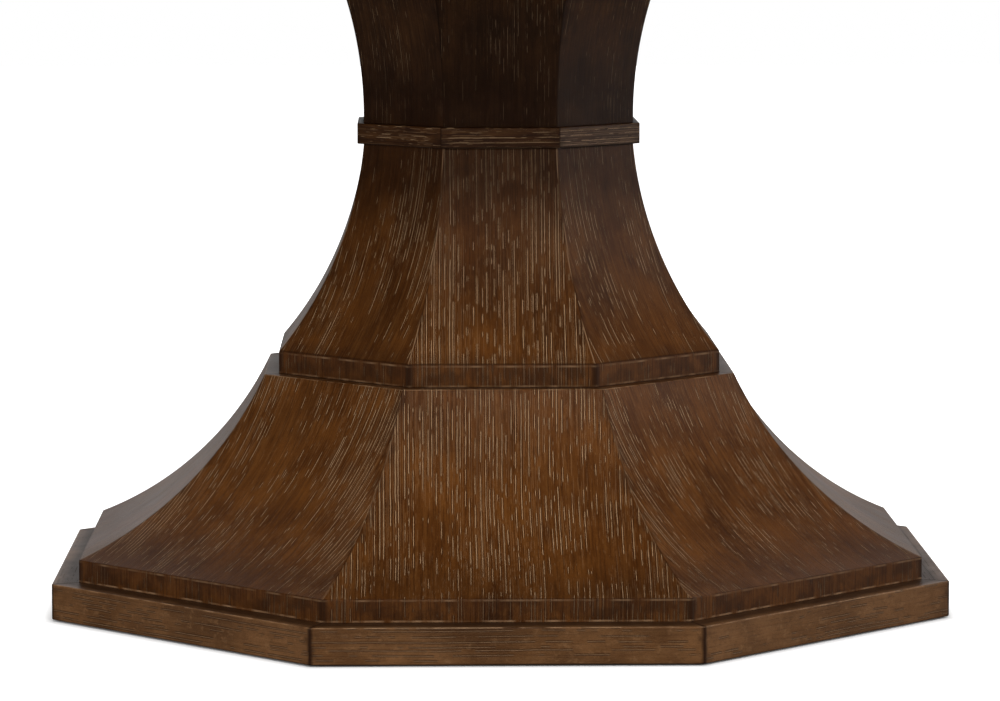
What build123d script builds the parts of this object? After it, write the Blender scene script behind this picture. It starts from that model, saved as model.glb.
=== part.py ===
from build123d import *

import os
from dataclasses import dataclass
from math import cos, hypot, radians, sin, sqrt, tan

# Round pedestal dining table. An eight-sided oak pedestal in two hollow-flared tiers stands on a
# low plinth; a collar, a short flaring column and a mounting plate carry the round top.
# Millimetres, +Z up. The origin is on the floor, on the pedestal's axis. Face 1 of the pedestal
# looks along -Y, and the faces are numbered counter-clockwise seen from above.
# "Reach" is the distance from the axis to the middle of a face, square to that face.

# ---- driving dimensions -------------------------------------------------------------------
TABLE_HEIGHT = 762.0
TOP_DIAMETER = 1524.0
TOP_THICKNESS = 38.0
SIDES = 8

FLOOR_GAP = 2.0  # the plinth hangs this far above the floor on its glides
PLINTH_REACH = 482.5
PLINTH_HEIGHT = 38.5
PLINTH_BOARD_WIDTH = 90.0

LOWER_EDGE_REACH = 454.0
LOWER_EDGE_HEIGHT = 24.0
LOWER_HEAD_REACH = 256.0
LOWER_RISE = 191.5
LOWER_SAGITTA = 25.3
LOWER_THICKNESS = 25.0
LOWER_FOOT_DEPTH = 36.0

UPPER_EDGE_REACH = 240.5
UPPER_EDGE_HEIGHT = 24.0
UPPER_HEAD_REACH = 147.5
UPPER_RISE = 224.5
UPPER_SAGITTA = 18.5
UPPER_THICKNESS = 20.0
UPPER_FOOT_DEPTH = 32.5

COLLAR_REACH = 154.5
COLLAR_HEIGHT = 22.5
COLLAR_STRIP_WIDTH = 46.5

COLUMN_FOOT_REACH = 147.5
COLUMN_HEAD_REACH = 179.0
COLUMN_SAGITTA = 8.7
COLUMN_THICKNESS = 20.0

PLATE_REACH = 280.0
PLATE_THICKNESS = 24.0
PLATE_CHAMFER = 10.0

LIPPING_WIDTH = 60.0
LIPPING_ROUND = 3.0

PLY = 18.0  # thin formers and the base panel
THICK_PLY = 24.0  # the two formers that carry a joint between tiers
GLUE_GAP = 0.3  # between a bevelled former and the hollow back of a panel
SEAT_GAP = 0.2  # between a straight-sided inner piece and its neighbours
CLEAT_DEPTH = 18.0
CLEAT_WIDTH = 34.0
CLEAT_GAP = 0.5  # between a cleat's ends and the formers

BOLT_CIRCLE = 250.0
BOLT_RADIUS = 4.0  # M8
BOLT_LENGTH = 42.0
BOLT_HOLE_RADIUS = 4.5
BOLT_HEAD_FLATS = 13.0
BOLT_HEAD_HEIGHT = 5.3
WASHER_RADIUS = 12.0
WASHER_THICKNESS = 2.0
INSERT_RADIUS = 6.0
INSERT_FLANGE_RADIUS = 9.0
INSERT_FLANGE = 1.5
INSERT_LENGTH = 20.0
FIT_GAP = 0.06  # radial, between a thread or pin and its bore

SCREW_CIRCLE = 118.0
SCREW_RADIUS = 2.5
SCREW_HEAD_RADIUS = 5.0
SCREW_LENGTH = 42.0

GLIDE_FACES = (2, 4, 6, 8)
GLIDE_REACH = PLINTH_REACH - PLINTH_BOARD_WIDTH / 2
PAD_RADIUS = 19.0
PAD_HEIGHT = 6.0
PAD_CHAMFER = 1.5
PAD_FLOOR = 2.4  # left under the stem's pivot
POCKET_RADIUS = 23.0
POCKET_TOP = 9.0
STEM_RADIUS = 5.0  # M10 x 1.5
STEM_TOP = 35.0
STEM_HOLE_TOP = 37.0
PIVOT_RADIUS = 4.0
COLLAR_FLATS = 15.0
RUNNING_GAP = 0.1  # flat faces that turn on each other
SOCKET_RADIUS = 8.0
SOCKET_LENGTH = 20.0
SOCKET_FLANGE_RADIUS = 12.0
SOCKET_FLANGE = 1.5

# ---- levels worked out from them ----------------------------------------------------------
HALF_SIDE = radians(180 / SIDES)
PLINTH_TOP = FLOOR_GAP + PLINTH_HEIGHT
LOWER_EDGE_TOP = PLINTH_TOP + LOWER_EDGE_HEIGHT
LEDGE = LOWER_EDGE_TOP + LOWER_RISE
UPPER_EDGE_TOP = LEDGE + UPPER_EDGE_HEIGHT
COLLAR_FOOT = UPPER_EDGE_TOP + UPPER_RISE
COLLAR_TOP = COLLAR_FOOT + COLLAR_HEIGHT
TOP_UNDERSIDE = TABLE_HEIGHT - TOP_THICKNESS
COLUMN_TOP = TOP_UNDERSIDE - PLATE_THICKNESS


@dataclass(frozen=True)
class Flare:
    """A circular sweep from foot to head, given as (reach, height), hollow on its outer side."""

    foot: tuple
    head: tuple
    sagitta: float

    @property
    def radius(self):
        chord = hypot(self.head[0] - self.foot[0], self.head[1] - self.foot[1])
        return (chord**2 / 4 + self.sagitta**2) / (2 * self.sagitta)

    @property
    def centre(self):
        along = (self.head[0] - self.foot[0], self.head[1] - self.foot[1])
        chord = hypot(*along)
        away = self.radius - self.sagitta
        return (
            (self.foot[0] + self.head[0]) / 2 + away * along[1] / chord,
            (self.foot[1] + self.head[1]) / 2 - away * along[0] / chord,
        )

    def reach(self, height, depth=0.0):
        """The reach at this height of the surface that lies depth behind the outer one."""
        cx, cz = self.centre
        return cx - sqrt((self.radius + depth) ** 2 - (height - cz) ** 2)

    def height(self, reach, depth=0.0):
        """The height at this reach of the surface that lies depth behind the outer one."""
        cx, cz = self.centre
        return cz - sqrt((self.radius + depth) ** 2 - (cx - reach) ** 2)

    def arc(self, low, high, depth=0.0):
        """The arc between two heights of the surface that lies depth behind the outer one."""
        heights = (low, (low + high) / 2, high)
        return ThreePointArc(*((self.reach(z, depth), z) for z in heights))


LOWER = Flare((LOWER_EDGE_REACH, LOWER_EDGE_TOP), (LOWER_HEAD_REACH, LEDGE), LOWER_SAGITTA)
UPPER = Flare((UPPER_EDGE_REACH, UPPER_EDGE_TOP), (UPPER_HEAD_REACH, COLLAR_FOOT), UPPER_SAGITTA)
COLUMN = Flare((COLUMN_FOOT_REACH, COLLAR_TOP), (COLUMN_HEAD_REACH, COLUMN_TOP), COLUMN_SAGITTA)


# ---- shared shapes --------------------------------------------------------------------------
def outline(*pieces):
    """A face in the (reach, height) plane, bounded by these lines and arcs in order."""
    return Plane.XZ * make_face(Curve() + list(pieces))


def prism(points, low, high):
    """A straight prism over a polygon of plan points."""
    return Pos(0, 0, low) * extrude(make_face(Polyline(*points, close=True)), amount=high - low)


def turned(piece, face):
    """A piece that was made on the +X side, turned to stand on a numbered face."""
    return Rot(0, 0, -90 + (face - 1) * 360 / SIDES) * piece


def mitred(profile):
    """The profile run along the +X side of the octagon and cut at both mitres."""
    far = PLINTH_REACH + 10
    side = far * tan(HALF_SIDE)
    sector = prism([(0, 0), (far, -side), (far, side)], 0, TABLE_HEIGHT)
    return extrude(profile, amount=side, both=True) & sector


def octagon(reach):
    """A regular octagon whose flats face the axes and the diagonals."""
    return RegularPolygon(reach, SIDES, major_radius=False, rotation=180 / SIDES)


def slab(low, high, reach, head_reach=None):
    """An octagonal plate, with bevelled edges when its top has another reach."""
    foot = Pos(0, 0, low) * octagon(reach)
    if head_reach is None:
        return extrude(foot, amount=high - low)
    return loft([foot, Pos(0, 0, high) * octagon(head_reach)])


def cylinder(radius, low, high, x=0.0, y=0.0):
    """A vertical cylinder between two heights."""
    return Pos(x, y, (low + high) / 2) * Cylinder(radius, high - low)


def hexagon(flats, low, high):
    """A vertical hexagonal prism on the axis."""
    shape = RegularPolygon(flats / 2, 6, major_radius=False)
    return Pos(0, 0, low) * extrude(shape, amount=high - low)


def around(piece, reach, offset=0.0):
    """Eight copies of a piece made on the axis, moved out to reach and spread evenly."""
    return [
        Rot(0, 0, offset + 360 / SIDES * n) * Pos(reach, 0, 0) * piece for n in range(SIDES)
    ]


# ---- plinth -----------------------------------------------------------------------------------
def plinth_board(face):
    """A flat board on the floor side, mitred at both ends, and bored where it holds a glide."""
    inner = PLINTH_REACH - PLINTH_BOARD_WIDTH
    profile = Polyline(
        (inner, FLOOR_GAP),
        (PLINTH_REACH, FLOOR_GAP),
        (PLINTH_REACH, PLINTH_TOP),
        (inner, PLINTH_TOP),
        close=True,
    )
    board = mitred(outline(profile))
    if face in GLIDE_FACES:
        for radius, top in (
            (POCKET_RADIUS, POCKET_TOP),
            (SOCKET_FLANGE_RADIUS + FIT_GAP, POCKET_TOP + SOCKET_FLANGE),
            (SOCKET_RADIUS + FIT_GAP, POCKET_TOP + SOCKET_LENGTH),
            (STEM_RADIUS + 0.5, STEM_HOLE_TOP),
        ):
            board -= cylinder(radius, 0, top, GLIDE_REACH)
    return turned(board, face)


def base_panel():
    """The plywood floor of the pedestal, flush with the top of the plinth boards."""
    reach = PLINTH_REACH - PLINTH_BOARD_WIDTH - SEAT_GAP
    return slab(PLINTH_TOP - PLY, PLINTH_TOP, reach)


# ---- tiers ------------------------------------------------------------------------------------
def tier_panel(flare, foot, thickness, foot_depth):
    """A bent panel with an upright lower edge and a solid foot behind it."""
    edge_reach, edge_top = flare.foot
    head_reach, head = flare.head
    back = edge_reach - foot_depth
    back_top = flare.height(back, thickness)
    inner_head = flare.reach(head, thickness)
    return mitred(
        outline(
            Polyline((back, back_top), (back, foot), (edge_reach, foot), (edge_reach, edge_top)),
            flare.arc(edge_top, head),
            Line((head_reach, head), (inner_head, head)),
            flare.arc(back_top, head, thickness),
        )
    )


def column_panel():
    """A bent panel of even thickness, cut level at the foot and the head."""
    foot, head = COLLAR_TOP, COLUMN_TOP
    inner_foot = COLUMN.reach(foot, COLUMN_THICKNESS)
    inner_head = COLUMN.reach(head, COLUMN_THICKNESS)
    return mitred(
        outline(
            Line((inner_foot, foot), (COLUMN_FOOT_REACH, foot)),
            COLUMN.arc(foot, head),
            Line((COLUMN_HEAD_REACH, head), (inner_head, head)),
            COLUMN.arc(foot, head, COLUMN_THICKNESS),
        )
    )


def collar_strip():
    """A flat strip that stands a little proud of the panels above and below it."""
    inner = COLLAR_REACH - COLLAR_STRIP_WIDTH
    profile = Polyline(
        (inner, COLLAR_FOOT),
        (COLLAR_REACH, COLLAR_FOOT),
        (COLLAR_REACH, COLLAR_TOP),
        (inner, COLLAR_TOP),
        close=True,
    )
    return mitred(outline(profile))


def corner_cleat(flare, thickness, low, high):
    """A V-shaped cleat, sawn to the flare, that backs the mitre between two panels."""
    front, back = thickness + GLUE_GAP, thickness + GLUE_GAP + CLEAT_DEPTH
    profile = outline(
        flare.arc(low, high, front),
        Line((flare.reach(high, front), high), (flare.reach(high, back), high)),
        flare.arc(low, high, back),
        Line((flare.reach(low, back), low), (flare.reach(low, front), low)),
    )
    far = PLINTH_REACH
    along = (far, far * tan(HALF_SIDE))
    across = (CLEAT_WIDTH * sin(HALF_SIDE), -CLEAT_WIDTH * cos(HALF_SIDE))
    strip = prism([(0, 0), along, (along[0] + across[0], along[1] + across[1]), across], low, high)
    half = extrude(profile, amount=far * tan(HALF_SIDE), both=True) & strip
    half = Rot(0, 0, -180 / SIDES) * half
    return half + mirror(half, about=Plane.XZ)


def corner_cleats():
    """All the cleats: eight in each tier and eight in the column."""
    lower_foot = LOWER.height(LOWER_EDGE_REACH - LOWER_FOOT_DEPTH, LOWER_THICKNESS)
    upper_foot = UPPER.height(UPPER_EDGE_REACH - UPPER_FOOT_DEPTH, UPPER_THICKNESS)
    waist_foot, waist_head = COLLAR_FOOT - PLY, COLLAR_TOP + PLY
    tiers = (
        (LOWER, LOWER_THICKNESS, lower_foot + 1, LEDGE - THICK_PLY),
        (UPPER, UPPER_THICKNESS, upper_foot + 1, waist_foot),
        (COLUMN, COLUMN_THICKNESS, waist_head, COLUMN_TOP - THICK_PLY),
    )
    cleats = []
    for flare, thickness, low, high in tiers:
        cleat = corner_cleat(flare, thickness, low + CLEAT_GAP, high - CLEAT_GAP)
        cleats += around(cleat, 0, 180 / SIDES)
    return Compound(children=cleats)


def bevelled_former(flare, thickness, low, high):
    """An octagonal former whose edges lean with the backs of the panels."""
    depth = thickness + GLUE_GAP
    return slab(low, high, flare.reach(low, depth), flare.reach(high, depth))


def waist_block():
    """A stepped block: it fills the head of the upper tier, the collar and the column's foot."""
    wide = UPPER.reach(COLLAR_FOOT, UPPER_THICKNESS) - GLUE_GAP
    narrow = COLLAR_REACH - COLLAR_STRIP_WIDTH - SEAT_GAP
    foot = slab(COLLAR_FOOT - PLY, COLLAR_FOOT, wide)
    neck = slab(COLLAR_FOOT, COLLAR_TOP, narrow)
    head = slab(COLLAR_TOP, COLLAR_TOP + PLY, wide)
    return foot + neck + head


# ---- top and its fixings ----------------------------------------------------------------------
def screw(grow=0.0):
    """A countersunk wood screw, head up at the plate's top face."""
    top = TOP_UNDERSIDE
    radius, head = SCREW_RADIUS + grow, SCREW_HEAD_RADIUS + grow
    cone = Pos(0, 0, top - (head - radius) / 2) * Cone(radius, head, head - radius)
    return cylinder(radius, top - SCREW_LENGTH - grow, top) + cone


def head_former():
    """The former that closes the column and takes the screws of the mounting plate."""
    former = bevelled_former(COLUMN, COLUMN_THICKNESS, COLUMN_TOP - THICK_PLY, COLUMN_TOP)
    for hole in around(screw(FIT_GAP), SCREW_CIRCLE):
        former -= hole
    return former


def mounting_plate():
    """An octagonal plate under the top, with its lower rim bevelled."""
    plate = slab(COLUMN_TOP, COLUMN_TOP + PLATE_CHAMFER, PLATE_REACH - PLATE_CHAMFER, PLATE_REACH)
    plate += slab(COLUMN_TOP + PLATE_CHAMFER, TOP_UNDERSIDE, PLATE_REACH)
    for hole in around(screw(FIT_GAP), SCREW_CIRCLE):
        plate -= hole
    for hole in around(cylinder(BOLT_HOLE_RADIUS, COLUMN_TOP, TOP_UNDERSIDE), BOLT_CIRCLE):
        plate -= hole
    return plate


def insert(radius, flange, length):
    """The outer shape of a flanged threaded insert, flange down at the top's underside."""
    body = cylinder(radius, TOP_UNDERSIDE, TOP_UNDERSIDE + length)
    return body + cylinder(flange, TOP_UNDERSIDE, TOP_UNDERSIDE + INSERT_FLANGE)


def top_inserts():
    """Threaded inserts for the bolts, let into the underside of the top."""
    bush = insert(INSERT_RADIUS, INSERT_FLANGE_RADIUS, INSERT_LENGTH)
    bush -= cylinder(BOLT_RADIUS + FIT_GAP, TOP_UNDERSIDE, TOP_UNDERSIDE + INSERT_LENGTH)
    return Compound(children=around(bush, BOLT_CIRCLE))


def top_bolts():
    """Hexagon bolts and their washers, from under the plate into the inserts."""
    seat = COLUMN_TOP - WASHER_THICKNESS
    washer = cylinder(WASHER_RADIUS, seat, COLUMN_TOP)
    washer -= cylinder(BOLT_RADIUS + FIT_GAP, seat, COLUMN_TOP)
    bolt = hexagon(BOLT_HEAD_FLATS, seat - BOLT_HEAD_HEIGHT, seat)
    bolt += cylinder(BOLT_RADIUS, seat, seat + BOLT_LENGTH)
    return Compound(children=around(washer, BOLT_CIRCLE) + around(bolt, BOLT_CIRCLE))


def plate_screws():
    """The screws that hold the mounting plate down on the column."""
    return Compound(children=around(screw(), SCREW_CIRCLE))


def top_core():
    """The veneered disc inside the lipping, bored below for the inserts."""
    core = cylinder(TOP_DIAMETER / 2 - LIPPING_WIDTH, TOP_UNDERSIDE, TABLE_HEIGHT)
    bore = insert(INSERT_RADIUS + FIT_GAP, INSERT_FLANGE_RADIUS + FIT_GAP, INSERT_LENGTH + 2)
    for hole in around(bore, BOLT_CIRCLE):
        core -= hole
    return core


def top_lipping():
    """Eight sawn segments butted end to end round the core, their outer arrises eased."""
    outer = TOP_DIAMETER / 2
    inner = outer - LIPPING_WIDTH
    section = make_face(
        Polyline(
            (inner, TOP_UNDERSIDE),
            (outer, TOP_UNDERSIDE),
            (outer, TABLE_HEIGHT),
            (inner, TABLE_HEIGHT),
            close=True,
        )
    )
    eased = fillet(section.vertices().sort_by(Axis.X)[-2:], LIPPING_ROUND)
    segment = revolve(Plane.XZ * eased, Axis.Z, 360 / SIDES)
    return Compound(children=around(segment, 0, 180 / SIDES))


# ---- levelling glides -------------------------------------------------------------------------
def glide_sockets():
    """Flanged threaded bushes, let into the underside of four plinth boards."""
    bush = cylinder(SOCKET_RADIUS, POCKET_TOP, POCKET_TOP + SOCKET_LENGTH)
    bush += cylinder(SOCKET_FLANGE_RADIUS, POCKET_TOP, POCKET_TOP + SOCKET_FLANGE)
    bush -= cylinder(STEM_RADIUS + FIT_GAP, POCKET_TOP, POCKET_TOP + SOCKET_LENGTH)
    bushes = [turned(Pos(GLIDE_REACH, 0, 0) * bush, face) for face in GLIDE_FACES]
    return Compound(children=bushes)


def glide_pad():
    """The nylon foot that stays still on the floor while its stem turns."""
    pad = cylinder(PAD_RADIUS, 0, PAD_HEIGHT)
    pad = chamfer(pad.edges().group_by(Axis.Z)[0], PAD_CHAMFER)
    return pad - cylinder(PIVOT_RADIUS + FIT_GAP, PAD_FLOOR, PAD_HEIGHT)


def glide_stem():
    """The threaded stem with a hexagon collar, and the pivot that turns in the pad."""
    collar_foot = PAD_HEIGHT + RUNNING_GAP
    collar_top = POCKET_TOP - RUNNING_GAP
    stem = cylinder(PIVOT_RADIUS, PAD_FLOOR + RUNNING_GAP, collar_foot)
    stem += hexagon(COLLAR_FLATS, collar_foot, collar_top)
    return stem + cylinder(STEM_RADIUS, collar_top, STEM_TOP)


# ---- every node ---------------------------------------------------------------------------------
def all_parts():
    """Each node's name and shape."""
    lower = tier_panel(LOWER, PLINTH_TOP, LOWER_THICKNESS, LOWER_FOOT_DEPTH)
    upper = tier_panel(UPPER, LEDGE, UPPER_THICKNESS, UPPER_FOOT_DEPTH)
    rings = {
        "lower_flare_panel": lower,
        "upper_flare_panel": upper,
        "collar_strip": collar_strip(),
        "column_panel": column_panel(),
    }
    parts = {}
    for face in range(1, SIDES + 1):
        parts[f"plinth_board_{face}"] = plinth_board(face)
        for name, piece in rings.items():
            parts[f"{name}_{face}"] = turned(piece, face)
    parts["base_panel"] = base_panel()
    parts["ledge_former"] = bevelled_former(LOWER, LOWER_THICKNESS, LEDGE - THICK_PLY, LEDGE)
    parts["waist_block"] = waist_block()
    parts["column_head_former"] = head_former()
    parts["corner_cleats"] = corner_cleats()
    parts["mounting_plate"] = mounting_plate()
    parts["plate_screws"] = plate_screws()
    parts["top_bolts"] = top_bolts()
    parts["top_inserts"] = top_inserts()
    parts["top_core"] = top_core()
    parts["top_lipping"] = top_lipping()
    parts["glide_sockets"] = glide_sockets()
    for number, face in enumerate(GLIDE_FACES, start=1):
        parts[f"glide_pad_{number}"] = turned(Pos(GLIDE_REACH, 0, 0) * glide_pad(), face)
        parts[f"glide_stem_{number}"] = turned(Pos(GLIDE_REACH, 0, 0) * glide_stem(), face)
    return parts


os.makedirs("parts", exist_ok=True)
for name, shape in all_parts().items():
    export_step(shape, f"parts/{name}.step")
for label, flare in (("lower", LOWER), ("upper", UPPER), ("column", COLUMN)):
    print(f"{label} flare radius {flare.radius:.1f} mm")
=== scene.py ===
import logging
import math
import random
from collections.abc import Callable, Iterable, Sequence
from dataclasses import dataclass, field
from enum import Enum
from typing import Any

import bmesh
import bpy
from mathutils import Matrix, Vector


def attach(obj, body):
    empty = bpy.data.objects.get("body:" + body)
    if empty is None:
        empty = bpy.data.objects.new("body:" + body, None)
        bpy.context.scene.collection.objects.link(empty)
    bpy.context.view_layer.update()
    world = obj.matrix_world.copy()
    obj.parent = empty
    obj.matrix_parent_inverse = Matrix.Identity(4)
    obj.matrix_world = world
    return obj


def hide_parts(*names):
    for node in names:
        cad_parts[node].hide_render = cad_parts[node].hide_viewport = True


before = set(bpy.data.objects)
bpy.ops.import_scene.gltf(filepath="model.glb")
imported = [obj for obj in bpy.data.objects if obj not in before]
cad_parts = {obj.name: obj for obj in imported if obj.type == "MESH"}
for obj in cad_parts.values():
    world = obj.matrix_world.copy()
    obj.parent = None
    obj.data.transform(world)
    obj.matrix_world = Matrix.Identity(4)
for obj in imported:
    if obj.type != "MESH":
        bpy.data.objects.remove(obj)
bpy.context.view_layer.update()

LOG = logging.getLogger("pedestal_table")

# metres in a millimetre, and the octagon that the pedestal is built on
MM = 0.001
SIDES = 8
HALF_SIDE = math.pi / SIDES
MITRE = math.tan(HALF_SIDE)

# the sides that the glides stand under, and how far they are from the table's axis, in millimetres
GLIDE_FACES = (2, 4, 6, 8)
GLIDE_REACH = 437.5

# the sockets of a Mix node that mixes colours
MIX_SHARE, MIX_FIRST, MIX_SECOND = 0, 6, 7
MIX_RESULT = 2

Point = tuple[float, float]
Colour = tuple[float, float, float]


class Slot(Enum):
    """The material slots of the record."""

    OAK = "limed_oak"
    PLYWOOD = "plywood"
    BEECH = "beech"
    STEEL = "zinc_steel"
    NYLON = "nylon"


class Run(Enum):
    """Which way the grain runs on a piece of an octagonal ring."""

    UP = "up the face"
    LEVEL = "along the side"


# ---- node trees ---------------------------------------------------------------------------------
@dataclass(frozen=True)
class Value:
    """A number socket of a node tree, whose arithmetic adds Math nodes."""

    graph: "Graph"
    socket: bpy.types.NodeSocket

    def math(self, operation: str, *others: Any) -> "Value":
        """Adds a Math node that takes this value first."""
        return self.graph.math(operation, self, *others)

    def __add__(self, other: Any) -> "Value":
        """This plus other."""
        return self.math("ADD", other)

    def __sub__(self, other: Any) -> "Value":
        """This less other."""
        return self.math("SUBTRACT", other)

    def __mul__(self, other: Any) -> "Value":
        """This times other."""
        return self.math("MULTIPLY", other)

    def __truediv__(self, other: Any) -> "Value":
        """This over other."""
        return self.math("DIVIDE", other)

    def __rsub__(self, other: Any) -> "Value":
        """Other less this."""
        return self.graph.math("SUBTRACT", other, self)

    __radd__ = __add__
    __rmul__ = __mul__

    def floor(self) -> "Value":
        """The whole number at or below this."""
        return self.math("FLOOR")

    def fract(self) -> "Value":
        """What is left above the whole number."""
        return self.math("FRACT")

    def size(self) -> "Value":
        """This without its sign."""
        return self.math("ABSOLUTE")

    def root(self) -> "Value":
        """The square root."""
        return self.math("SQRT")

    def most(self, other: Any) -> "Value":
        """The larger of the two."""
        return self.math("MAXIMUM", other)

    def least(self, other: Any) -> "Value":
        """The smaller of the two."""
        return self.math("MINIMUM", other)

    def ease(self, start: Any, end: Any) -> "Value":
        """Rises smoothly from 0 where this is start to 1 where it is end.

        Args:
            start: the value that gives 0, which may be above end.
            end: the value that gives 1.

        Returns:
            The eased share.
        """
        inputs = {"Value": self, "From Min": start, "From Max": end}
        node = self.graph.node("MapRange", {"interpolation_type": "SMOOTHSTEP"}, inputs)
        return Value(self.graph, node.outputs[0])


class Graph:
    """A node tree that is being built."""

    def __init__(self, tree: bpy.types.NodeTree) -> None:
        """Takes a tree and empties it."""
        tree.nodes.clear()
        self.tree = tree

    def node(
        self, kind: str, settings: dict[str, Any] | None = None, inputs: dict[Any, Any] | None = None
    ) -> bpy.types.Node:
        """Adds a node.

        Args:
            kind: the node's type, without ShaderNode before it.
            settings: its properties, which are set first.
            inputs: numbers, colours, values or sockets, by the name or number of the input.

        Returns:
            The new node.
        """
        node = self.tree.nodes.new("ShaderNode" + kind)
        for name, value in (settings or {}).items():
            setattr(node, name, value)
        for name, value in (inputs or {}).items():
            if isinstance(value, Value):
                value = value.socket
            if isinstance(value, bpy.types.NodeSocket):
                self.tree.links.new(value, node.inputs[name])
            else:
                node.inputs[name].default_value = value
        return node

    def math(self, operation: str, *values: Any) -> Value:
        """Adds a Math node with these operands."""
        node = self.node("Math", {"operation": operation}, dict(enumerate(values)))
        return Value(self, node.outputs[0])

    def vector(self, x: Any, y: Any, z: Any) -> bpy.types.NodeSocket:
        """Joins three numbers to a vector."""
        return self.node("CombineXYZ", {}, {0: x, 1: y, 2: z}).outputs[0]

    def parts(self, socket: bpy.types.NodeSocket) -> tuple[Value, Value, Value]:
        """Splits a vector in its three numbers."""
        outputs = self.node("SeparateXYZ", {}, {0: socket}).outputs
        return Value(self, outputs[0]), Value(self, outputs[1]), Value(self, outputs[2])

    def layer(self, name: str) -> tuple[Value, Value, Value]:
        """The three numbers of a named attribute of the mesh."""
        node = self.node("Attribute", {"attribute_name": name})
        return self.parts(node.outputs["Vector"])

    def cloud(self, x: Any, y: Any, z: Any, detail: float = 2.0, rough: float = 0.5) -> Value:
        """Smooth noise about one half, a unit across, at a point.

        Args:
            x: first coordinate.
            y: second coordinate.
            z: third coordinate.
            detail: how many finer layers it has.
            rough: how strong they are.

        Returns:
            The noise.
        """
        inputs = {"Vector": self.vector(x, y, z), "Scale": 1.0, "Detail": detail, "Roughness": rough}
        return Value(self, self.node("TexNoise", {}, inputs).outputs[0])

    def chance(self, x: Any, y: Any, z: Any = 0.0) -> Value:
        """A number from 0 to 1 that jumps from each point to the next."""
        node = self.node("TexWhiteNoise", {"noise_dimensions": "3D"}, {0: self.vector(x, y, z)})
        return Value(self, node.outputs[0])

    def blend(self, share: Any, first: Any, second: Any) -> bpy.types.NodeSocket:
        """Mixes two colours.

        Args:
            share: how much of the second there is, from 0 to 1.
            first: a colour or a socket.
            second: a colour or a socket.

        Returns:
            The mixed colour's socket.
        """
        inputs = {MIX_SHARE: share, MIX_FIRST: self.solid(first), MIX_SECOND: self.solid(second)}
        return self.node("Mix", {"data_type": "RGBA"}, inputs).outputs[MIX_RESULT]

    def bump(self, height: Value, depth: float) -> bpy.types.NodeSocket:
        """A normal from a height; depth is what one unit of height stands for, in metres."""
        return self.node("Bump", {}, {"Height": height, "Distance": depth}).outputs[0]

    @staticmethod
    def solid(colour: Any) -> Any:
        """A plain colour with its alpha, or a socket as it is."""
        return (*colour, 1.0) if isinstance(colour, tuple) else colour


class Finish:
    """What every finish shares: a material made once, when it is first asked for."""

    name: str

    def material(self) -> bpy.types.Material:
        """The material, made on first use.

        Returns:
            The material.
        """
        found = bpy.data.materials.get(self.name)
        if found is not None:
            return found
        made = bpy.data.materials.new(self.name)
        made.use_nodes = True
        graph = Graph(made.node_tree)
        surface = graph.node("BsdfPrincipled", {}, self.surface(graph))
        graph.node("OutputMaterial", {}, {"Surface": surface.outputs[0]})
        return made

    def surface(self, graph: Graph) -> dict[str, Any]:
        """What goes into the shader's sockets."""
        raise NotImplementedError


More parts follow.
